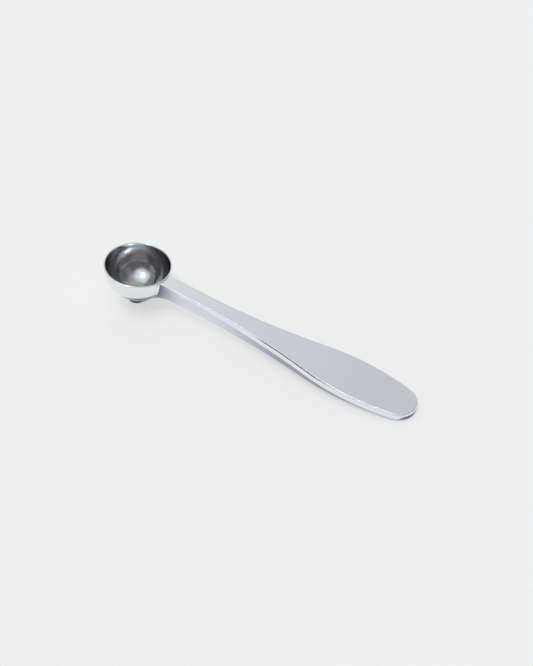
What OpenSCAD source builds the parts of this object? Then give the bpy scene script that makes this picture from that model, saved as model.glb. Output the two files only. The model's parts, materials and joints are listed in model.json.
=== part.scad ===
// Matcha spoon, cast in one piece and polished: a round measuring bowl with a small foot,
// and a handle that is narrow and deep beside the bowl and wide and thin at its end.
// It lies as on a table, on the edge of its foot and under the tip of its handle.
// Inside the modules the bowl's rim is level: x runs along the handle, z is up and the
// origin is the centre of the rim.

/* [Bowl] */
// Inner diameter of the bowl
bowl_d = 25.4; // [22:0.1:32]
// Height of the straight wall between the rim and the half ball
straight_h = 1.4; // [0.5:0.1:4]
// Thickness of the bowl's wall
wall = 0.5; // [0.5:0.1:1.2]
// Thickness of the rounded lip
lip = 0.6; // [0.55:0.05:1.4]

/* [Foot] */
// Diameter of the foot
foot_d = 6.8; // [6:0.1:8]
// Height of the foot under the bowl
foot_h = 3.2; // [2:0.1:5]

/* [Handle] */
// Distance from the centre of the bowl to the tip of the handle
reach = 123.4; // [115:0.1:140]
// Depth of the handle's top face below the rim
step = 0.5; // [0.2:0.1:1.5]
// Width of the neck beside the bowl
neck_w = 6.4; // [5:0.1:8]
// Width of the paddle at its widest
paddle_w = 19.4; // [16.5:0.1:24]
// Radius of the round tip
tip_r = 7.8; // [6:0.05:8.1]
// Radius of the paddle's bulging sides
side_r = 90; // [70:1:110]
// Radius of the hollow sides that lead from the neck into the paddle
sweep_r = 275; // [200:5:300]
// Radius of the rounded edge round the top face and under the foot
edge_r = 0.6; // [0.2:0.05:0.8]

/* [Underside] */
// Height of the upright edge below the top face
edge_h = 2.4; // [1.6:0.1:3]
// Thickness of the handle at the neck
neck_t = 8.2; // [6:0.1:9]
// Thickness of the handle at the tip
tip_t = 3.4; // [3.2:0.1:5]
// Distance from the tip to where the underside starts to rise
thin_from = 68; // [50:1:80]
// Distance from the tip to where it has its thickness at the tip
thin_to = 8; // [5:1:15]
// Power of the rounded underside at the neck, where 2 is an ellipse and more is squarer
belly = 2.5; // [2:0.5:5]
// Power of the flatter underside at the tip, which the spoon rests on
tip_belly = 6; // [3:0.5:8]

/* [Root] */
// Slope of the web that runs from the neck down to the foot
web_slope = 46; // [38:1:54]
// Radius of the curve between the web and the neck
web_r = 15.5; // [8:0.5:20]
// Radius of the hollow corners between the handle's sides and the bowl
corner_r = 1.6; // [1:0.1:3]

/* [Hidden] */
$fn = 96;
bowl_r = bowl_d / 2;
shell_r = bowl_r + wall;
lip_r = lip / 2;
foot_r = foot_d / 2;
foot_z = -straight_h - shell_r - foot_h;

// The outline has three arcs, each tangent to the next: hollow side, bulging side and tip
neck_hw = neck_w / 2;
paddle_hw = paddle_w / 2;
tip_x = reach - tip_r;
widest_x = tip_x - sqrt(pow(side_r - tip_r, 2) - pow(side_r - paddle_hw, 2));
swell = paddle_hw - neck_hw;
sweep_x = widest_x - sqrt(swell * (2 * sweep_r + 2 * side_r - swell));
bulge_x = sweep_x + (widest_x - sweep_x) * sweep_r / (sweep_r + side_r);
tip_turn = acos((tip_x - widest_x) / (side_r - tip_r));

// The web leaves the foot's edge and ends where its curve meets the neck
web_drop = -foot_z - step - neck_t;
web_bend = web_r * (1 - cos(web_slope));
web_bend_x = foot_r + (web_drop - web_bend) / tan(web_slope);
web_x = web_bend_x + web_r * sin(web_slope);

// The hollow corners follow a ball that rolls between the handle's side and the shell
root_x = foot_r / 2;
corner_x = sqrt(pow(shell_r + corner_r, 2) - pow(neck_hw + corner_r, 2));
corner_in = corner_x * shell_r / (shell_r + corner_r);

// Stations along the handle, closer together at the root, then round the tip
root_step = 0.75;
side_step = 3;
tip_step = 11;
root_end = corner_x + 1;
tip_start = tip_x + tip_r * cos(tip_turn);
root_n = ceil((root_end - root_x) / root_step);
side_n = ceil((tip_start - root_end) / side_step);
tip_n = ceil(tip_turn / tip_step);

// Half the width of the handle's top at a place along it
function half_w(x) =
    x < sweep_x ? neck_hw
    : x < bulge_x ? neck_hw + sweep_r - sqrt(pow(sweep_r, 2) - pow(x - sweep_x, 2))
    : paddle_hw - side_r + sqrt(pow(side_r, 2) - pow(x - widest_x, 2));

// A slope that starts and ends level, from 0 to 1
function ease(t) = t < 0 ? 0 : t > 1 ? 1 : t * t * (3 - 2 * t);

// How far the web hangs below the neck
function web(x) =
    x > web_x ? 0
    : x > web_bend_x ? web_r - sqrt(pow(web_r, 2) - pow(web_x - x, 2))
    : min(web_bend + (web_bend_x - x) * tan(web_slope), web_drop - edge_r);

// How far the underside has gone from its form at the neck to its form at the tip
function way(x) = ease((x - reach + thin_from) / (thin_from - thin_to));

// Thickness of the handle at a place along it
function thick(x) = neck_t + (tip_t - neck_t) * way(x) + web(x);

// Power of the rounded underside at a place along the handle
function power(x) = belly + (tip_belly - belly) * way(x);

// How far the sides flare outwards near the bowl, at a distance from its centre
function flare(d) =
    d > corner_x ? 0 : corner_r - sqrt(pow(corner_r, 2) - pow(corner_x - max(d, corner_in), 2));

// One side of the outline, from the root to the tip
outline = concat(
    [for (i = [0 : root_n - 1]) let (x = root_x + (root_end - root_x) * i / root_n) [x, half_w(x)]],
    [for (i = [0 : side_n - 1]) let (x = root_end + (tip_start - root_end) * i / side_n) [x, half_w(x)]],
    [for (i = [0 : tip_n]) let (a = tip_turn * (1 - i / tip_n)) [tip_x + tip_r * cos(a), tip_r * sin(a)]]
);

// Half of a section from the top face down: how far in and how deep as lengths, and the turn
// round the underside
edge_turns = [0, 30, 60, 90];
belly_turns = [0, 5, 15, 28, 42, 57, 71, 84];
section = concat(
    [for (a = edge_turns) [edge_r * (1 - sin(a)), edge_r * (1 - cos(a)), 0]],
    [for (a = belly_turns) [0, edge_h, a]]
);

// A point of the handle's skin. Beyond the tip's centre the outline shrinks towards it.
function skin(p, s) =
    let (
        size = p[0] > tip_x ? norm([p[0] - tip_x, p[1]]) : p[1],
        wide = pow(cos(s[2]), 2 / power(p[0])),
        deep = pow(sin(s[2]), 2 / power(p[0])),
        share = wide - s[0] / size,
        x = p[0] > tip_x ? tip_x + share * (p[0] - tip_x) : p[0],
        depth = s[1] + deep * (thick(x) - edge_h),
        from_ball = norm([x, depth + step - straight_h])
    )
    [x, share * p[1] + flare(from_ball) * wide, -step - depth];

// A closed line of points round the handle: along one side to the tip and back along the other
function ring(s) =
    let (side = [for (p = outline) skin(p, s)])
    concat(side, [for (i = [len(side) - 2 : -1 : 0]) [side[i][0], -side[i][1], side[i][2]]]);

// How low the foot and the tip reach below the rim's centre when the spoon leans
function foot_low(lean) = (foot_r - edge_r) * sin(lean) - (foot_z + edge_r) * cos(lean) + edge_r;
function tip_low(lean) =
    let (
        q = tip_belly / (tip_belly - 1),
        along = pow(tip_r * sin(lean), q),
        down = pow((tip_t - edge_h) * cos(lean), q)
    )
    tip_x * sin(lean) + (step + edge_h) * cos(lean) + pow(along + down, 1 / q);

// The lean at which both touch the table
function settle(lean, n) =
    n == 0 ? lean : settle(lean + asin((foot_low(lean) - tip_low(lean)) / reach), n - 1);
lean = settle(0, 6);

// The middle of the leaning spoon's length
back_x = -(bowl_r + lip_r) * cos(lean) - lip_r * sin(lean) - lip_r;
front_x = (reach - edge_r) * cos(lean) - (step + edge_r) * sin(lean) + edge_r;
middle_x = (back_x + front_x) / 2;

// A half ball with a straight wall above it, solid and closed at the rim
module ball_cup(r) {
    rotate_extrude()
        intersection() {
            union() {
                translate([0, -straight_h])
                    circle(r);
                translate([0, -straight_h])
                    square([r, straight_h]);
            }
            translate([0, -straight_h - r])
                square([r, straight_h + r]);
        }
}

module lip() {
    rotate_extrude()
        translate([bowl_r + lip_r, -lip_r])
            circle(lip_r, $fn = 32);
}

// A short round stub with a rounded lower edge
module foot() {
    rotate_extrude() {
        translate([0, foot_z])
            square([foot_r - edge_r, foot_h + shell_r / 2]);
        translate([0, foot_z + edge_r])
            square([foot_r, foot_h + shell_r / 2 - edge_r]);
        intersection() {
            translate([foot_r - edge_r, foot_z + edge_r])
                circle(edge_r, $fn = 32);
            translate([0, foot_z])
                square([foot_r, 2 * edge_r]);
        }
    }
}

// The handle with its web, as rings of points from the top face down to the underside
module handle() {
    tip = len(outline) - 1;
    around = 2 * tip + 1;
    rings = len(section);
    lowest = (rings - 1) * around;
    points = [for (s = section) each ring(s)];
    top = [for (i = [0 : tip - 1])
        let (far = around - 1 - i)
            i == tip - 1 ? [i, tip, far] : [i, i + 1, far - 1, far]];
    under = [for (i = [0 : tip - 1])
        let (near = lowest + i, far = lowest + around - 1 - i)
            i == tip - 1 ? [near, far, lowest + tip] : [near, far, far - 1, near + 1]];
    root = [for (j = [0 : rings - 2])
        let (a = j * around, b = a + around)
            [a, a + around - 1, b + around - 1, b]];
    sides = [for (j = [0 : rings - 2]) for (i = [0 : around - 2])
        let (a = j * around + i, b = a + around)
            each [[a, b, b + 1], [a, b + 1, a + 1]]];
    polyhedron(points, concat(top, under, root, sides));
}

module spoon() {
    color("silver")
        translate([-middle_x, 0, foot_low(lean)])
            rotate([0, lean, 0])
                difference() {
                    union() {
                        ball_cup(shell_r);
                        lip();
                        foot();
                        handle();
                    }
                    ball_cup(bowl_r);
                }
}

spoon();
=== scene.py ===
"""A matcha spoon, cast in one piece and polished, on a plain studio floor."""

import json
from math import acos, atan2, ceil, cos, hypot, inf, pi, radians, sin, sqrt, tan

import bmesh
import bpy
from bpy.props import FloatProperty, FloatVectorProperty, PointerProperty
from bpy.types import Operator, Panel, PropertyGroup
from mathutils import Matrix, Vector


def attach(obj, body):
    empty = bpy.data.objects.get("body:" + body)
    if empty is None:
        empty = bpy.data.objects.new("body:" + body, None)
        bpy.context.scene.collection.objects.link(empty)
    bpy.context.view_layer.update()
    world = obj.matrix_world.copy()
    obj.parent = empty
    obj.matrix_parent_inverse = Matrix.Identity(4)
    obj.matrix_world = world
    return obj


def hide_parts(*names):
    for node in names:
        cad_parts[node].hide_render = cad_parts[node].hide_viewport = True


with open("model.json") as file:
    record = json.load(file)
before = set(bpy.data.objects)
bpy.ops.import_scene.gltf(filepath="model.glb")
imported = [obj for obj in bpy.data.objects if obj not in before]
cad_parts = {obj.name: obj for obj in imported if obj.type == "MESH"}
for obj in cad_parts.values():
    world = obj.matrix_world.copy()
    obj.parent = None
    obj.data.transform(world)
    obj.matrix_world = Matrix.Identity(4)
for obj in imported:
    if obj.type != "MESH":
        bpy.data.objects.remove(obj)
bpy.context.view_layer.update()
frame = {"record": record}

bl_info = {
    "name": "Matcha Spoon",
    "version": (1, 0, 0),
    "blender": (4, 5, 0),
    "location": "View3D > Sidebar > Matcha Spoon",
    "description": "Models a cast, polished matcha spoon and a plain studio for it",
    "category": "Object",
}

MM = 0.001
RIGHT_ANGLE = pi / 2

# The foot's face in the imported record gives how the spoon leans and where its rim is
FOOT_FACE = next(m for m in frame["record"]["mounts"] if m["name"] == "foot_face")
FOOT_CENTRE = Vector(FOOT_FACE["pos_m"])
SPOON_UP = -Vector(FOOT_FACE["axis"]).normalized()
LEAN = atan2(SPOON_UP.x, SPOON_UP.z)

# How many straight pieces each curve has: a whole turn, the bowl's quarter round, the lip, the shell's
# side, a rounded edge, half of the handle's underside and half of its tip
TURN_STEPS = 192
BALL_STEPS = 56
LIP_STEPS = 18
SHELL_STEPS = 48
EDGE_STEPS = 6
BELLY_STEPS = 18
TIP_STEPS = 24

# How far apart the handle's sections are at its root, and along the rest of it
ROOT_SPACING = 0.25 * MM
SPACING = 1 * MM

# Points closer than MERGE become one, and places closer than HAIR are the same. The points of a section
# lie within NEAR of its place, and within NEAR_TURN of its turn round the tip.
MERGE = 0.0005 * MM
HAIR = 0.001 * MM
NEAR = 0.01 * MM
NEAR_TURN = 0.01

# How far the hollow corners sink into the shell, so that the two surfaces cross cleanly
SINK = 0.02 * MM

# Width of the strip that keeps the top face flat beside its edge, and how far a flat face's normal
# points up at least
FLAT_STRIP = 0.1 * MM
FLAT = 0.9999

# Faces that meet at less than this angle are shaded smooth
SMOOTH_ANGLE = radians(35)

# How far apart the wheel's marks and the turning's rings are, in each direction of the level spoon. The
# real ones are 0.1 to 0.2 mm apart, and are drawn two to four times as coarse so that they show.
MARKS = (12 * MM, 0.4 * MM, 0.4 * MM)
RINGS = (4 * MM, 4 * MM, 0.5 * MM)

# The values between which most of a noise lies
NOISE_LOW = 0.3
NOISE_HIGH = 0.7

# How far the roughness goes up and down with the marks and with the rings
MARKS_HAZE = 0.02
RINGS_HAZE = 0.03

# The share of its colour that the steel keeps in the darkest rings, how deep the rings are, and the
# share of that depth that the marks have
RINGS_DARK = 0.76
RELIEF = 0.015 * MM
MARKS_DEPTH = 0.1

# Side of the square floor, in metres
FLOOR_SIZE = 12

# The room that the steel mirrors, as round patches of soft light, each laid over the last. Azimuths go
# from the camera's direction round to its right. A patch is full within its inner radius and fades out
# towards its outer one. All angles are in degrees.
# colour, strength, azimuth, elevation, inner radius, outer radius
ROOM = (
    # The wall behind the spoon, with two brighter patches
    ("#FFFEFF", 0.63, 180, 15, 40, 60),
    ("#F9F8FF", 0.73, 172, 46, 2, 8),
    ("#FAFFFD", 0.81, 180, 46, 2, 7),
    # The dim sides on the right and on the left, and round the camera
    ("#FFFFFF", 0.22, 88, 28, 12, 40),
    ("#FFFFFF", 0.38, -98, 38, 20, 42),
    ("#FFFFFF", 0.20, 0, 15, 38, 66),
    # Bright patches on the left, one low down and two high up
    ("#FFFFFF", 1.40, -56, 13, 5, 17),
    ("#FFFFFF", 1.20, -85, 74, 3, 15),
    ("#FFFFFF", 1.15, -56, 62, 3, 20),
    # The lamp's wide halo, and the lamp
    ("#DFF3FF", 1.75, -14, 66, 2, 32),
    ("#FFF8EE", 16.0, -30, 65, 3, 7),
)
# How bright the room is outside the patches
CEILING = 0.64
# Elevations in degrees at which the floor's colour starts to show low in the room, and is full
SWEEP_START = 12
SWEEP_FULL = 6


def linear(colour):
    """The linear values of an sRGB colour written as hex."""
    parts = [int(colour[i:i + 2], 16) / 255 for i in (1, 3, 5)]
    return tuple(c / 12.92 if c <= 0.04045 else ((c + 0.055) / 1.055) ** 2.4 for c in parts)


def length(name, description, default):
    """A length in metres, with its default given in millimetres."""
    return FloatProperty(
        name=name, description=description, default=default * MM, unit="LENGTH", precision=5)


def angle(name, description, default):
    """An angle, with its default given in degrees."""
    return FloatProperty(name=name, description=description, default=radians(default), unit="ROTATION")


def colour(name, description, default):
    """A colour, with its default given as sRGB hex."""
    return FloatVectorProperty(
        name=name, description=description, default=linear(default), subtype="COLOR", min=0, max=1)


def fraction(name, description, default):
    """A number from 0 to 1."""
    return FloatProperty(name=name, description=description, default=default, min=0, max=1)


class SpoonSizes(PropertyGroup):
    """The sizes of the spoon. Its rim is level and at the origin while it is modelled."""

    bowl_d: length("Bowl", "Inner diameter of the bowl", 25.4)
    straight_h: length("Straight wall", "Height of the straight wall above the half ball", 1.4)
    wall: length("Wall", "Thickness of the bowl's wall", 0.5)
    lip: length("Lip", "Thickness of the rounded lip", 0.6)
    foot_d: length("Foot", "Diameter of the foot", 6.8)
    foot_h: length("Foot height", "Height of the foot under the bowl", 3.2)
    reach: length("Reach", "Distance from the centre of the bowl to the tip of the handle", 123.4)
    step: length("Step", "Depth of the handle's top face below the rim", 0.5)
    neck_w: length("Neck", "Width of the neck beside the bowl", 6.4)
    paddle_w: length("Paddle", "Width of the paddle at its widest", 19.4)
    tip_r: length("Tip", "Radius of the round tip", 7.8)
    side_r: length("Bulging side", "Radius of the paddle's bulging sides", 90)
    sweep_r: length("Hollow side", "Radius of the sides that lead from the neck into the paddle", 275)
    edge_r: length("Edge", "Radius of the rounded edge round the top face and under the foot", 0.6)
    edge_h: length("Upright edge", "Height of the upright edge below the top face", 2.4)
    neck_t: length("Neck thickness", "Thickness of the handle at the neck", 8.2)
    tip_t: length("Tip thickness", "Thickness of the handle at the tip", 3.4)
    thin_from: length("Thin from", "Distance from the tip to where the underside starts to rise", 68)
    thin_to: length("Thin to", "Distance from the tip to where it has its thickness at the tip", 8)
    belly: FloatProperty(
        name="Belly", description="Power of the underside at the neck, where 2 is an ellipse", default=2.5)
    tip_belly: FloatProperty(
        name="Tip belly", description="Power of the flatter underside at the tip", default=6)
    web_slope: angle("Web slope", "Slope of the web that runs from the neck down to the foot", 46)
    web_r: length("Web curve", "Radius of the curve between the web and the neck", 15.5)
    corner_r: length("Corner", "Radius of the hollow corners between the handle and the bowl", 1.6)


class SpoonFinish(PropertyGroup):
    """The finish of the spoon, with shade painted into some of its colours."""

    steel: colour("Steel", "Colour of the buffed steel", "#EEF0F5")
    # Painted shade: the handle's side below the bright band is darker and bluish, for the reflection of the
    # shaded floor
    neck_side_shade: colour("Neck's side", "Colour of the steel below the buffed band at the neck", "#E0E1EE")
    # Painted shade on the handle's side, darker along the flare
    flare_side_shade: colour("Flare's side", "Colour of the steel below the buffed band at the paddle", "#A8A6B5")
    # Painted shade in the corner between the handle and the bowl, and at the tip's end
    corner_and_tip_shade: colour("Dull steel", "Colour of the steel in the bowl's corner and at the tip", "#6A6C80")
    # Painted shade on the bowl's underside towards the handle and on the foot
    underside_shade: colour("Steel underneath", "Colour of the steel under the bowl and on the foot", "#626470")
    # Painted shade: the steel inside the bowl is a darker grey, with faint turned rings
    shaded_bowl_steel: colour("Steel in the bowl", "Colour of the greyer steel inside the bowl", "#C3C1C3")
    # Painted dark reflection: a thin dark line along the flare's rounded edge
    painted_dark_line: colour("Compound", "Colour of the buffing compound left along the flare's edge", "#4A443C")
    # The painted shade on the handle's side starts below these bands
    neck_band: length("Band at the neck", "Height of the buffed band at the neck", 1.1)
    paddle_band: length("Band at the paddle", "Height of the buffed band along the paddle", 2.4)
    tip_band: length("Band at the tip", "Height of the buffed band round the tip", 1.2)
    haze: fraction("Haze", "Roughness of the buffed steel", 0.09)
    bowl_haze: fraction("Bowl's haze", "Roughness of the steel inside the bowl", 0.13)
    lip_haze: fraction("Lip's haze", "Roughness of the steel on the lip", 0.2)
    neck_edge_haze: fraction("Neck edge's haze", "Roughness of the rounded edge at the neck", 0.3)
    paddle_edge_haze: fraction("Paddle edge's haze", "Roughness of the edge along the paddle", 0.48)


class StudioSettings(PropertyGroup):
    """The floor, the light and the camera."""

    floor: colour("Floor", "Colour of the plain floor", "#F0EFEE")
    floor_glow: FloatProperty(
        name="Floor glow", description="Strength of the floor's own glow", default=1.235)
    floor_share: fraction("Glow share", "Share of the glow in what is seen of the floor", 0.52)
    azimuth: angle("Azimuth", "How far round the camera stands from the spoon's side", 32.42)
    elevation: angle("Elevation", "How high the camera stands above the table", 40.31)
    distance: length("Distance", "Distance from the camera to its target", 493.5)
    aim_x: length("Aim across", "How far to the right of the rim's middle the camera aims", 49.97)
    aim_y: length("Aim in front", "How far in front of the rim's middle the camera aims", 41.21)
    lens: FloatProperty(name="Lens", description="Focal length of the camera", default=73.0, unit="CAMERA")


class Outline:
    """The handle's form as a few formulas of the place along it, in metres from the rim's centre."""

    def __init__(self, size):
        self.size = size
        self.neck_hw = size.neck_w / 2
        self.paddle_hw = size.paddle_w / 2
        self.shell_r = size.bowl_d / 2 + size.wall
        self.foot_z = -size.straight_h - self.shell_r - size.foot_h
        self.belly_top = -size.step - size.edge_h
        self.root_x = size.foot_d / 4
        self.tip_x = size.reach - size.tip_r
        rise = size.side_r - self.paddle_hw
        self.widest_x = self.tip_x - sqrt((size.side_r - size.tip_r) ** 2 - rise ** 2)
        swell = self.paddle_hw - self.neck_hw
        radii = size.sweep_r + size.side_r
        self.sweep_x = self.widest_x - sqrt(swell * (2 * radii - swell))
        self.bulge_x = self.sweep_x + (self.widest_x - self.sweep_x) * size.sweep_r / radii
        drop = -self.foot_z - size.step - size.neck_t
        self.web_bend = size.web_r * (1 - cos(size.web_slope))
        self.web_bend_x = size.foot_d / 2 + (drop - self.web_bend) / tan(size.web_slope)
        self.web_x = self.web_bend_x + size.web_r * sin(size.web_slope)
        self.web_most = drop - size.edge_r
        touch_r = self.shell_r - SINK
        self.corner_x = sqrt((touch_r + size.corner_r) ** 2 - (self.neck_hw + size.corner_r) ** 2)
        self.corner_in = self.corner_x * touch_r / (touch_r + size.corner_r)

    def half_width(self, x):
        """Half the width of the handle's top."""
        if x < self.sweep_x:
            return self.neck_hw
        if x < self.bulge_x:
            return self.neck_hw + self.size.sweep_r - sqrt(self.size.sweep_r ** 2 - (x - self.sweep_x) ** 2)
        return self.paddle_hw - self.size.side_r + sqrt(self.size.side_r ** 2 - (x - self.widest_x) ** 2)

    def web(self, x):
        """How far the web hangs below the neck."""
        if x > self.web_x:
            return 0.0
        if x > self.web_bend_x:
            return self.size.web_r - sqrt(self.size.web_r ** 2 - (self.web_x - x) ** 2)
        return min(self.web_bend + (self.web_bend_x - x) * tan(self.size.web_slope), self.web_most)

    def way(self, x):
        """How far the underside has gone from its form at the neck to its form at the tip."""
        way = (x - self.size.reach + self.size.thin_from) / (self.size.thin_from - self.size.thin_to)
        way = min(max(way, 0.0), 1.0)
        return way * way * (3 - 2 * way)

    def belly_depth(self, x):
        """How far the rounded underside reaches below the upright edge."""
        thin = (self.size.tip_t - self.size.neck_t) * self.way(x)
        return self.size.neck_t + thin + self.web(x) - self.size.edge_h

    def power(self, x):
        """The power of the rounded underside."""
        return self.size.belly + (self.size.tip_belly - self.size.belly) * self.way(x)

    def flare(self, from_ball):
        """How far the sides flare outwards at a distance from the middle of the bowl's ball."""
        if from_ball > self.corner_x:
            return 0.0
        inward = self.corner_x - max(from_ball, self.corner_in)
        return self.size.corner_r - sqrt(self.size.corner_r ** 2 - inward ** 2)

    def tip_radius(self, turn):
        """Distance from the tip's centre to the outline, turned from the handle's direction."""
        reach = self.size.tip_r
        side_dx = self.tip_x - self.widest_x
        side_dy = self.size.side_r - self.paddle_hw
        if turn > atan2(side_dy, side_dx):
            # Where a ray from the tip's centre meets the bulging side's circle
            along = side_dx * cos(turn) + side_dy * sin(turn)
            reach = sqrt(along ** 2 - side_dx ** 2 - side_dy ** 2 + self.size.side_r ** 2) - along
        return reach


def edited():
    """The mesh that is being edited."""
    return bmesh.from_edit_mesh(bpy.context.object.data)


def pick(test, kind="VERT"):
    """Selects the vertices, edges or faces that pass a test, and nothing else."""
    bpy.ops.mesh.select_mode(type=kind)
    bpy.ops.mesh.select_all(action="DESELECT")
    mesh = edited()
    elements = {"VERT": mesh.verts, "EDGE": mesh.edges, "FACE": mesh.faces}[kind]
    mesh.normal_update()
    for element in elements:
        if test(element):
            element.select_set(True)
    mesh.select_flush_mode()
    bmesh.update_edit_mesh(bpy.context.object.data)


def pick_section(x, below=inf):
    """Selects the handle's points at a place along it, or only those of them below a height."""
    pick(lambda v: abs(v.co.x - x) < NEAR and v.co.z < below)


def start_point(name, x, z):
    """A new object in edit mode that holds one selected vertex."""
    bpy.ops.object.select_all(action="DESELECT")
    bpy.ops.mesh.primitive_plane_add(size=MM)
    made = bpy.context.object
    made.name = name
    made.data.name = name
    bpy.ops.object.mode_set(mode="EDIT")
    bpy.ops.mesh.select_mode(type="VERT")
    bpy.ops.mesh.select_all(action="SELECT")
    bpy.ops.mesh.merge(type="CENTER")
    bpy.ops.transform.translate(value=(x, 0, z))
    return made


def line_to(x, y, z):
    """Draws a line from the selected vertex to a place."""
    at = next(v.co for v in edited().verts if v.select)
    bpy.ops.mesh.extrude_region_move(TRANSFORM_OT_translate={"value": (x - at.x, y - at.y, z - at.z)})


def arc_round(x, z, turn, steps):
    """Draws an arc from the selected vertex round a centre, from x towards z where the turn is positive."""
    bpy.ops.mesh.spin(steps=steps, angle=turn, center=(x, 0, z), axis=(0, 1, 0))


def tidy_solid():
    """Merges doubled points, turns the faces outwards and leaves edit mode."""
    bpy.ops.mesh.select_mode(type="VERT")
    bpy.ops.mesh.select_all(action="SELECT")
    bpy.ops.mesh.remove_doubles(threshold=MERGE)
    bpy.ops.mesh.normals_make_consistent(inside=False)
    bpy.ops.object.mode_set(mode="OBJECT")


def turn_profile():
    """Turns the profile round the upright axis into a closed solid, and leaves edit mode."""
    bpy.ops.mesh.select_all(action="SELECT")
    bpy.ops.mesh.spin(steps=TURN_STEPS, angle=2 * pi, center=(0, 0, 0), axis=(0, 0, 1))
    tidy_solid()


def apply_modifier(piece, kind, **settings):
    """Adds a modifier to a piece, sets it and applies it."""
    bpy.ops.object.select_all(action="DESELECT")
    piece.select_set(True)
    bpy.context.view_layer.objects.active = piece
    modifier = piece.modifiers.new(kind.title(), kind)
    for name, value in settings.items():
        setattr(modifier, name, value)
    bpy.ops.object.modifier_apply(modifier=modifier.name)


def combine(target, other, operation):
    """Unites another solid with the target, or cuts it away, and deletes it."""
    apply_modifier(target, "BOOLEAN", operation=operation, object=other, solver="EXACT")
    bpy.data.objects.remove(other)


def make_bowl(size, form):
    """The bowl with its lip and foot, turned from one profile."""
    bowl_r = size.bowl_d / 2
    lip_r = size.lip / 2
    foot_r = size.foot_d / 2
    bowl = start_point("spoon", 0, -size.straight_h - bowl_r)
    arc_round(0, -size.straight_h, RIGHT_ANGLE, BALL_STEPS)
    line_to(bowl_r, 0, -lip_r)
    # The lip's round goes on past its outer side, to where it meets the wall
    tuck = acos((size.wall - lip_r) / lip_r)
    arc_round(bowl_r + lip_r, -lip_r, -pi - tuck, LIP_STEPS)
    line_to(form.shell_r, 0, -size.straight_h)
    arc_round(0, -size.straight_h, -acos(foot_r / form.shell_r), SHELL_STEPS)
    line_to(foot_r, 0, form.foot_z + size.edge_r)
    arc_round(foot_r - size.edge_r, form.foot_z + size.edge_r, -RIGHT_ANGLE, EDGE_STEPS)
    line_to(0, 0, form.foot_z)
    turn_profile()
    return bowl


def make_core(size):
    """A solid that fills the bowl to the middle of its wall, to trim the handle's root with."""
    core_r = (size.bowl_d + size.wall) / 2
    core = start_point("core", 0, -size.straight_h - core_r)
    arc_round(0, -size.straight_h, RIGHT_ANGLE, BALL_STEPS)
    line_to(core_r, 0, size.straight_h)
    line_to(0, 0, size.straight_h)
    turn_profile()
    return core


def half_section(size, form, x):
    """Half of the handle's section: flat top, upright edge and a rounded underside."""
    half = form.neck_hw
    handle = start_point("handle", x, -size.step)
    line_to(x, -half, -size.step)
    line_to(x, -half, form.belly_top)
    line_to(x, -half, form.belly_top - half)
    line_to(x, 0, form.belly_top - half)
    pick(lambda v: v.co.y < -half / 2 and v.co.z < form.belly_top - half / 2)
    # A bevel's profile of a half, raised to 2 over the power, is that superellipse
    bpy.ops.mesh.bevel(
        offset_type="OFFSET", offset=half, segments=BELLY_STEPS, profile=0.5 ** (2 / size.belly),
        affect="VERTICES", clamp_overlap=False)
    bpy.ops.mesh.select_all(action="SELECT")
    bpy.ops.mesh.remove_doubles(threshold=MERGE)
    return handle


def make_handle(size, form):
    """The handle with its web: half a section drawn along it and round the tip, then mirrored."""
    root_x = form.root_x
    root_end = form.corner_x + SPACING
    root_steps = ceil((root_end - root_x) / ROOT_SPACING)
    side_steps = ceil((form.tip_x - root_end) / SPACING)
    places = [root_x + (root_end - root_x) * i / root_steps for i in range(root_steps)]
    places += [root_end + (form.tip_x - root_end) * i / side_steps for i in range(side_steps + 1)]

    handle = half_section(size, form, root_x)
    last, last_half, last_depth = root_x, form.neck_hw, form.neck_hw
    for x in places:
        if x > last:
            pick_section(last)
            bpy.ops.mesh.extrude_region_move(TRANSFORM_OT_translate={"value": (x - last, 0, 0)})
        half, depth = form.half_width(x), form.belly_depth(x)
        pick_section(x)
        bpy.ops.transform.resize(value=(1, half / last_half, 1), center_override=(x, 0, 0))
        pick_section(x, below=form.belly_top + HAIR)
        bpy.ops.transform.resize(value=(1, 1, depth / last_depth), center_override=(x, 0, form.belly_top))
        last, last_half, last_depth = x, half, depth

    round_tip(form)
    bpy.ops.object.mode_set(mode="OBJECT")
    apply_modifier(handle, "MIRROR", use_axis=(False, True, False), merge_threshold=HAIR)
    bpy.ops.object.mode_set(mode="EDIT")
    bpy.ops.mesh.select_all(action="SELECT")
    bpy.ops.mesh.remove_doubles(threshold=MERGE)
    pick(lambda e: e.is_boundary, "EDGE")
    bpy.ops.mesh.edge_face_add()
    tidy_solid()
    return handle


def round_tip(form):
    """Spins the section at the tip's centre a quarter turn, and sets each turn's reach."""
    start_r = form.half_width(form.tip_x)
    pick_section(form.tip_x)
    bpy.ops.mesh.spin(steps=TIP_STEPS, angle=-RIGHT_ANGLE, center=(form.tip_x, 0, 0), axis=(0, 0, 1))
    for i in range(1, TIP_STEPS + 1):
        turn = RIGHT_ANGLE * (1 - i / TIP_STEPS)
        pick(lambda v: v.co.x > form.tip_x + HAIR
             and abs(atan2(-v.co.y, v.co.x - form.tip_x) - turn) < NEAR_TURN)
        grow = form.tip_radius(turn) / start_r
        bpy.ops.transform.resize(value=(grow, grow, 1), center_override=(form.tip_x, 0, 0))


def set_skin(handle, size, form):
    """Squares the underside towards the tip, and spreads the sides at the root as a ball that rolls
    between them and the bowl would leave them.

    No transform tool changes a section's power or follows such a ball, so the formulas set each point.
    """
    for point in handle.data.vertices:
        place = point.co
        if place.z < form.belly_top:
            squared = size.belly / form.power(place.x)
            middle_x = min(place.x, form.tip_x)
            out = hypot(place.x - middle_x, place.y)
            half = form.half_width(place.x)
            if place.x > form.tip_x:
                half = form.tip_radius(atan2(abs(place.y), place.x - form.tip_x))
            depth = form.belly_depth(place.x)
            if out > 0:
                grow = (min(out / half, 1) ** squared) * half / out
                place.x = middle_x + (place.x - middle_x) * grow
                place.y *= grow
            place.z = form.belly_top - depth * min((form.belly_top - place.z) / depth, 1) ** squared
        from_ball = hypot(place.x, place.z + size.straight_h)
        place.y *= 1 + form.flare(from_ball) / form.neck_hw


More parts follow.
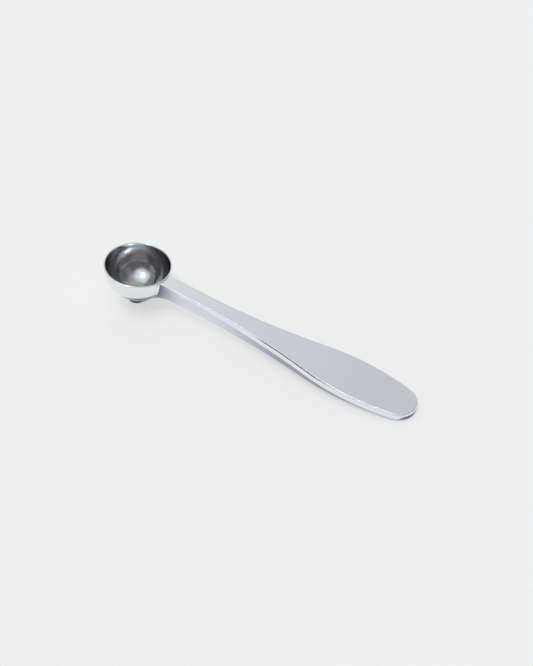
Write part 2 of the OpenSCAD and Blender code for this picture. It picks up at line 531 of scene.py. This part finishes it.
def round_top_edge(handle, size, form):
    """Rounds the edge of the handle's top face, apart from its root, and keeps the face flat beside it."""
    bpy.context.view_layer.objects.active = handle
    bpy.ops.object.mode_set(mode="EDIT")
    top = -size.step - HAIR
    pick(lambda e: all(v.co.z > top for v in e.verts)
         and max(v.co.x for v in e.verts) > form.root_x + HAIR
         and e.calc_face_angle(0) > RIGHT_ANGLE / 2, "EDGE")
    bpy.ops.mesh.bevel(
        offset_type="OFFSET", offset=size.edge_r, segments=EDGE_STEPS, profile=0.5,
        affect="EDGES", clamp_overlap=False)
    pick(lambda f: f.normal.z > FLAT and f.calc_center_median().z > top, "FACE")
    bpy.ops.mesh.inset(thickness=FLAT_STRIP, depth=0)
    bpy.ops.object.mode_set(mode="OBJECT")


def add_node(tree, kind, inputs=None, **settings):
    """Adds a node with its settings and inputs, where a node is linked by its first output in use."""
    made = tree.nodes.new(kind)
    for name, value in settings.items():
        setattr(made, name, value)
    for name, value in (inputs or {}).items():
        if isinstance(value, bpy.types.Node):
            value = next(output for output in value.outputs if output.enabled)
        if isinstance(value, bpy.types.NodeSocket):
            tree.links.new(value, made.inputs[name])
        else:
            made.inputs[name].default_value = value
    return made


def finish_zones(tree, finish, size):
    """Where each finish lies, as shares from 0 to 1, with the level place and how far along it is.

    Places are measured from the middle of the bowl's half ball, with the rim level.
    """
    form = Outline(size)
    shell_r = form.shell_r
    rim = size.straight_h
    top = size.straight_h - size.step
    edge_end = top - size.edge_r

    place = add_node(tree, "ShaderNodeTexCoord")
    ball = FOOT_CENTRE - SPOON_UP * (form.foot_z + size.straight_h)
    level = add_node(tree, "ShaderNodeMapping", {
        "Vector": place.outputs["Object"], "Location": ball, "Rotation": (0, LEAN, 0),
    }, vector_type="TEXTURE")
    along, _, height = add_node(tree, "ShaderNodeSeparateXYZ", {0: level}).outputs
    facing_up = add_node(tree, "ShaderNodeSeparateXYZ", {0: place.outputs["Normal"]}).outputs["Z"]
    # Above the ball's middle the wall is straight, so the height counts as nought there
    lowered = add_node(tree, "ShaderNodeVectorMath", {0: level, 1: (1, 1, 0)}, operation="MINIMUM")
    from_ball = add_node(tree, "ShaderNodeVectorMath", {0: lowered}, operation="LENGTH")

    # The bright band below the top edge, under which the handle's side gets painted shade, is narrow
    # at the neck, wide along the paddle and narrow again round the tip
    band = add_node(tree, "ShaderNodeMapRange", {
        "Value": along, "From Min": 25 * MM, "From Max": 57 * MM,
        "To Min": top - finish.neck_band, "To Max": top - finish.paddle_band})
    band = add_node(tree, "ShaderNodeMapRange", {
        "Value": along, "From Min": 120 * MM, "From Max": 121.5 * MM,
        "To Min": band, "To Max": top - finish.tip_band})
    below = add_node(tree, "ShaderNodeMath", {0: band, 1: height}, operation="SUBTRACT")

    # Each limit is a value, where a zone starts and where it is full
    inside_bowl = (from_ball, shell_r - 0.05 * MM, shell_r - 0.1 * MM)
    below_lip = (height, rim - 0.5 * MM, rim - 0.75 * MM)
    upper_lip = (height, rim - size.lip, rim - size.lip / 2)
    round_lip = (from_ball, shell_r + 0.2 * MM, shell_r + 0.1 * MM)
    off_bowl = (from_ball, shell_r + 0.15 * MM, shell_r + 0.35 * MM)
    off_top = (facing_up, 0.5, 0.3)
    below_band = (below, 0, 0.4 * MM)
    past_neck = (along, 40 * MM, 68 * MM)
    round_tip_end = (along, 120.5 * MM, 122.5 * MM)
    near_bowl = (from_ball, shell_r + 12 * MM, shell_r)
    facing_down = (facing_up, -0.46, -0.54)
    handle_side = (along, 0, 4 * MM)
    on_bowl = (from_ball, shell_r + 0.25 * MM, shell_r + 0.15 * MM)
    below_bowl = (height, -shell_r + 0.05 * MM, -shell_r - 0.05 * MM)
    above_edge_end = (height, edge_end - 0.06 * MM, edge_end + 0.02 * MM)
    off_flat = (facing_up, 0.99, 0.96)
    off_lip = (from_ball, shell_r + 0.3 * MM, shell_r + 0.5 * MM)
    steep = (facing_up, 0.72, 0.64)
    not_upright = (facing_up, 0.12, 0.2)
    after_neck = (along, 56 * MM, 62 * MM)
    before_paddle = (along, 96 * MM, 86 * MM)
    near_edge_end = (height, edge_end - 0.14 * MM, edge_end - 0.06 * MM)

    # Each zone is the part of another that its limits leave. One limit twice makes a softer fade.
    zones = {"spoon": 1.0}
    for zone, within, *limits in (
            # Inside the bowl the steel is hazier with rings, and its darker grey is painted shade
            ("bowl", "spoon", inside_bowl, below_lip),
            ("lip", "spoon", upper_lip, round_lip),
            ("edge", "spoon", above_edge_end, off_flat, off_lip),
            ("flanks", "spoon", off_bowl, off_top),
            # Painted shade on the handle's side below the band, darker still along the flare
            ("side", "flanks", below_band),
            ("flare", "side", past_neck),
            # Painted shade at the tip's end and in the corner at the bowl
            ("heel", "side", round_tip_end),
            ("corner", "flanks", near_bowl, near_bowl),
            # Painted shade on the faces turned down and on the foot below the bowl
            ("under", "spoon", facing_down, handle_side, on_bowl),
            ("foot", "spoon", below_bowl),
            # Painted dark reflection along the steep part of the flare's rounded edge
            ("line", "spoon", steep, not_upright, after_neck, before_paddle, near_edge_end)):
        share = zones[within]
        for value, start, full in limits:
            share = add_node(tree, "ShaderNodeMapRange", {
                "Value": value, "From Min": start, "From Max": full, "To Max": share})
        zones[zone] = share
    return level, along, zones


def polished_steel(finish, size):
    """Cast stainless steel, buffed to a mirror that shows the room with a faint haze.

    The handle's top and a band below its edge keep the brightest steel. Below the band the handle's
    sides are darker and bluish, which is painted shade for the reflection of the shaded floor, and so
    are the corner at the bowl, the tip's end, the bowl's underside towards the handle and the foot. A
    thin dark line along the flare's edge is a painted dark reflection. Inside, the bowl is hazier with
    faint turned rings, and its darker grey is painted shade in the hollow.
    """
    material = bpy.data.materials.new("polished_steel")
    material.use_nodes = True
    tree = material.node_tree
    tree.nodes.clear()
    level, along, zones = finish_zones(tree, finish, size)

    marks = add_node(tree, "ShaderNodeVectorMath", {0: level, 1: MARKS}, operation="DIVIDE")
    marks = add_node(tree, "ShaderNodeTexNoise", {"Vector": marks, "Scale": 1, "Detail": 2})
    rings = add_node(tree, "ShaderNodeVectorMath", {0: level, 1: RINGS}, operation="DIVIDE")
    rings = add_node(tree, "ShaderNodeTexNoise", {"Vector": rings, "Scale": 1, "Detail": 3})

    shade = add_node(tree, "ShaderNodeMapRange", {
        "Value": rings, "From Min": NOISE_LOW, "From Max": NOISE_HIGH, "To Min": RINGS_DARK, "To Max": 1})
    # The bowl's darker grey is painted shade in the hollow, varied by the turned rings
    shaded_bowl_rings = add_node(tree, "ShaderNodeVectorMath", {
        0: finish.shaded_bowl_steel, "Scale": shade}, operation="SCALE")
    colour_there = (*finish.steel, 1)
    # Over the bright steel each zone lays its colour: painted shade on the sides, at the tip, in the
    # corner, underneath and on the foot, the bowl's grey with its rings, and a painted dark line
    for zone, steel in (
            ("side", (*finish.neck_side_shade, 1)),
            ("flare", (*finish.flare_side_shade, 1)),
            ("heel", (*finish.corner_and_tip_shade, 1)),
            ("corner", (*finish.corner_and_tip_shade, 1)),
            ("under", (*finish.underside_shade, 1)),
            ("foot", (*finish.underside_shade, 1)),
            ("bowl", shaded_bowl_rings),
            ("line", (*finish.painted_dark_line, 1))):
        colour_there = add_node(tree, "ShaderNodeMix", {
            0: zones[zone], 6: colour_there, 7: steel}, data_type="RGBA")

    haze_there = add_node(tree, "ShaderNodeMapRange", {
        "Value": marks, "From Min": NOISE_LOW, "From Max": NOISE_HIGH,
        "To Min": finish.haze - MARKS_HAZE, "To Max": finish.haze + MARKS_HAZE})
    bowl_haze = add_node(tree, "ShaderNodeMapRange", {
        "Value": rings, "From Min": NOISE_LOW, "From Max": NOISE_HIGH,
        "To Min": finish.bowl_haze - RINGS_HAZE, "To Max": finish.bowl_haze + RINGS_HAZE})
    # The rounded edge gets hazier where the flare turns into the paddle
    edge_haze = add_node(tree, "ShaderNodeMapRange", {
        "Value": along, "From Min": 84 * MM, "From Max": 98 * MM,
        "To Min": finish.neck_edge_haze, "To Max": finish.paddle_edge_haze})
    for zone, haze in (("bowl", bowl_haze), ("lip", finish.lip_haze), ("edge", edge_haze)):
        haze_there = add_node(tree, "ShaderNodeMix", {0: zones[zone], 2: haze_there, 3: haze})

    relief = add_node(tree, "ShaderNodeMix", {0: zones["bowl"], 2: marks, 3: rings})
    depth = add_node(tree, "ShaderNodeMapRange", {
        "Value": zones["bowl"], "To Min": MARKS_DEPTH, "To Max": 1})
    bump = add_node(tree, "ShaderNodeBump", {"Height": relief, "Strength": depth, "Distance": RELIEF})
    shader = add_node(tree, "ShaderNodeBsdfPrincipled", {
        "Base Color": colour_there, "Metallic": 1, "Roughness": haze_there, "Normal": bump})
    add_node(tree, "ShaderNodeOutputMaterial", {"Surface": shader})
    return material


def plain_floor(studio):
    """Matt white-grey board: it takes a soft shadow, which an even glow of its own colour lightens."""
    material = bpy.data.materials.new("matt_board")
    material.use_nodes = True
    tree = material.node_tree
    tree.nodes.clear()
    floor = (*studio.floor, 1)
    board = add_node(tree, "ShaderNodeBsdfDiffuse", {"Color": floor})
    glow = add_node(tree, "ShaderNodeEmission", {"Color": floor, "Strength": studio.floor_glow})
    # Only the camera, mirrors and clear things see the board's glow, so it casts no light of its own
    ray = add_node(tree, "ShaderNodeLightPath").outputs
    mirrored = add_node(tree, "ShaderNodeMath", {
        0: ray["Is Camera Ray"], 1: ray["Is Glossy Ray"]}, operation="ADD")
    seen = add_node(tree, "ShaderNodeMath", {
        0: mirrored, 1: ray["Is Transmission Ray"]}, operation="ADD", use_clamp=True)
    share = add_node(tree, "ShaderNodeMath", {0: seen, 1: studio.floor_share}, operation="MULTIPLY")
    mixed = add_node(tree, "ShaderNodeMixShader", {0: share, 1: board, 2: glow})
    add_node(tree, "ShaderNodeOutputMaterial", {"Surface": mixed})
    return material


class MATCHA_OT_spoon(Operator):
    """Models the spoon: a turned bowl and a lofted handle, cast in one piece"""

    bl_idname = "matcha.spoon"
    bl_label = "Spoon"

    def execute(self, context):
        size = context.scene.spoon_sizes
        form = Outline(size)
        handle = make_handle(size, form)
        set_skin(handle, size, form)
        round_top_edge(handle, size, form)
        combine(handle, make_core(size), "DIFFERENCE")
        spoon = make_bowl(size, form)
        combine(spoon, handle, "UNION")
        bpy.ops.object.shade_smooth_by_angle(angle=SMOOTH_ANGLE)
        spoon.rotation_euler = (0, LEAN, 0)
        spoon.location = FOOT_CENTRE - SPOON_UP * form.foot_z
        bpy.ops.object.transform_apply(location=True, rotation=True, scale=True)
        spoon.data.materials.clear()
        spoon.data.materials.append(polished_steel(context.scene.spoon_finish, size))
        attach(spoon, "root")
        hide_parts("spoon")
        return {"FINISHED"}


class MATCHA_OT_studio(Operator):
    """Lays the floor and sets the light and the camera"""

    bl_idname = "matcha.studio"
    bl_label = "Studio"

    def execute(self, context):
        studio = context.scene.studio_settings
        context.scene.view_settings.view_transform = "Standard"
        bpy.ops.object.select_all(action="DESELECT")
        bpy.ops.mesh.primitive_plane_add(size=FLOOR_SIZE)
        floor = context.object
        floor.name = "floor"
        floor.data.materials.append(plain_floor(studio))
        place_camera(studio)
        light_studio(studio)
        return {"FINISHED"}


def place_camera(studio):
    """Puts the camera at the photograph's viewing angle."""
    right = Vector((cos(studio.azimuth), sin(studio.azimuth), 0))
    front = Vector((sin(studio.azimuth), -cos(studio.azimuth), 0))
    rim = FOOT_CENTRE - SPOON_UP * Outline(bpy.context.scene.spoon_sizes).foot_z
    target = rim + right * studio.aim_x + front * studio.aim_y
    back = front * cos(studio.elevation) + Vector((0, 0, sin(studio.elevation)))
    bpy.ops.object.camera_add(location=target + back * studio.distance,
                              rotation=(-back).to_track_quat("-Z", "Y").to_euler())
    camera = bpy.context.object
    camera.name = "camera"
    camera.data.lens = studio.lens
    bpy.context.scene.camera = camera


def light_studio(studio):
    """A soft room: pale overhead and behind the spoon, dim at the camera and on both sides, with a lamp
    high up on the camera's left."""
    world = bpy.data.worlds.new("studio_light")
    bpy.context.scene.world = world
    world.use_nodes = True
    tree = world.node_tree
    tree.nodes.clear()
    direction = add_node(tree, "ShaderNodeTexCoord").outputs["Generated"]
    light = (CEILING, CEILING, CEILING, 1)
    for patch_colour, strength, azimuth, elevation, inner, outer in ROOM:
        around = studio.azimuth + radians(azimuth - 90)
        level = cos(radians(elevation))
        middle = (cos(around) * level, sin(around) * level, sin(radians(elevation)))
        near = add_node(tree, "ShaderNodeVectorMath", {0: direction, 1: middle}, operation="DOT_PRODUCT")
        share = add_node(tree, "ShaderNodeMapRange", {
            "Value": near, "From Min": cos(radians(outer)), "From Max": cos(radians(inner)),
        }, interpolation_type="SMOOTHSTEP")
        patch = (*(strength * c for c in linear(patch_colour)), 1)
        light = add_node(tree, "ShaderNodeMix", {0: share, 6: light, 7: patch}, data_type="RGBA")

    # The board sweeps up all round, so the lowest part of the room has the floor's colour
    height = add_node(tree, "ShaderNodeSeparateXYZ", {0: direction}).outputs["Z"]
    sweep = add_node(tree, "ShaderNodeMapRange", {
        "Value": height, "From Min": sin(radians(SWEEP_START)), "From Max": sin(radians(SWEEP_FULL))})
    light = add_node(tree, "ShaderNodeMix", {0: sweep, 6: light, 7: (*studio.floor, 1)}, data_type="RGBA")
    glow = add_node(tree, "ShaderNodeBackground", {"Strength": 1, "Color": light})
    add_node(tree, "ShaderNodeOutputWorld", {"Surface": glow})


class MATCHA_PT_panel(Panel):
    """Lists the spoon's operators and settings"""

    bl_idname = "MATCHA_PT_panel"
    bl_label = "Matcha Spoon"
    bl_space_type = "VIEW_3D"
    bl_region_type = "UI"
    bl_category = "Matcha Spoon"

    def draw(self, context):
        self.layout.operator("matcha.spoon")
        self.layout.operator("matcha.studio")
        for group in (context.scene.spoon_sizes, context.scene.spoon_finish, context.scene.studio_settings):
            column = self.layout.column()
            for name in group.bl_rna.properties.keys():
                if name not in ("rna_type", "name"):
                    column.prop(group, name)


CLASSES = (SpoonSizes, SpoonFinish, StudioSettings, MATCHA_OT_spoon, MATCHA_OT_studio, MATCHA_PT_panel)


def register():
    for cls in CLASSES:
        bpy.utils.register_class(cls)
    bpy.types.Scene.spoon_sizes = PointerProperty(type=SpoonSizes)
    bpy.types.Scene.spoon_finish = PointerProperty(type=SpoonFinish)
    bpy.types.Scene.studio_settings = PointerProperty(type=StudioSettings)


def unregister():
    del bpy.types.Scene.studio_settings
    del bpy.types.Scene.spoon_finish
    del bpy.types.Scene.spoon_sizes
    for cls in reversed(CLASSES):
        bpy.utils.unregister_class(cls)


def main():
    """Makes the spoon and its studio."""
    register()
    bpy.ops.matcha.spoon()
    bpy.ops.matcha.studio()


if __name__ == "__main__":
    main()
